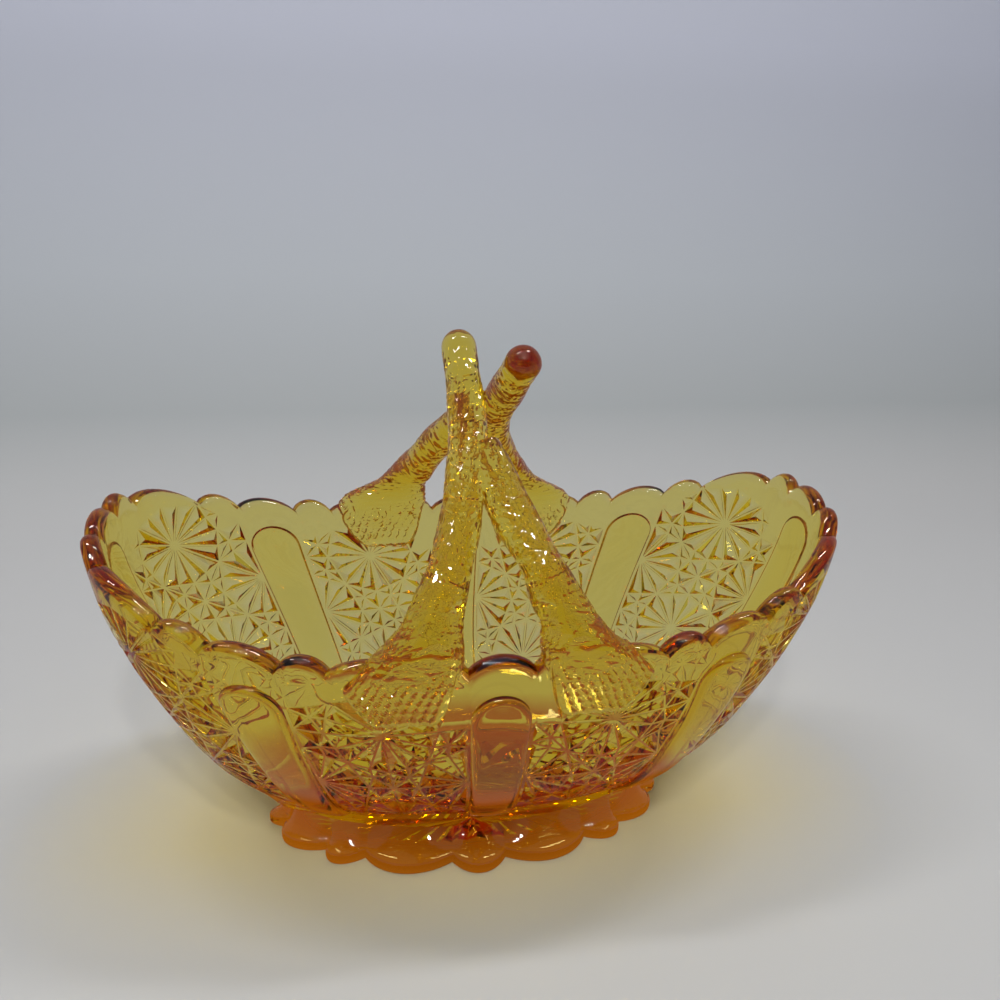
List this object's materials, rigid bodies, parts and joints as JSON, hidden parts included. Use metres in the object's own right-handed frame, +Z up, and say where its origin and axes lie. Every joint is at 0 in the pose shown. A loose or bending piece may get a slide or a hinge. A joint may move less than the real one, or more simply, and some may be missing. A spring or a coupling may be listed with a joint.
{
  "type": "glass basket",
  "caption": "Boat-shaped pressed-glass basket with a lobed rim, rayed foot and two crossing twig handles.",
  "frame": {"origin": "on the surface that the basket stands on, under the middle of its foot", "axes": "+Z up, +X along the bowl, +Y from the front handle towards the back one"},
  "size_m": [0.2022, 0.1026, 0.1535],
  "materials": {
    "amber_glass": "clear amber pressed glass, fire-polished smooth, with a faceted outer relief"
  },
  "bodies": {
    "root": {"basket": "amber_glass"}
  },
  "joints": []
}
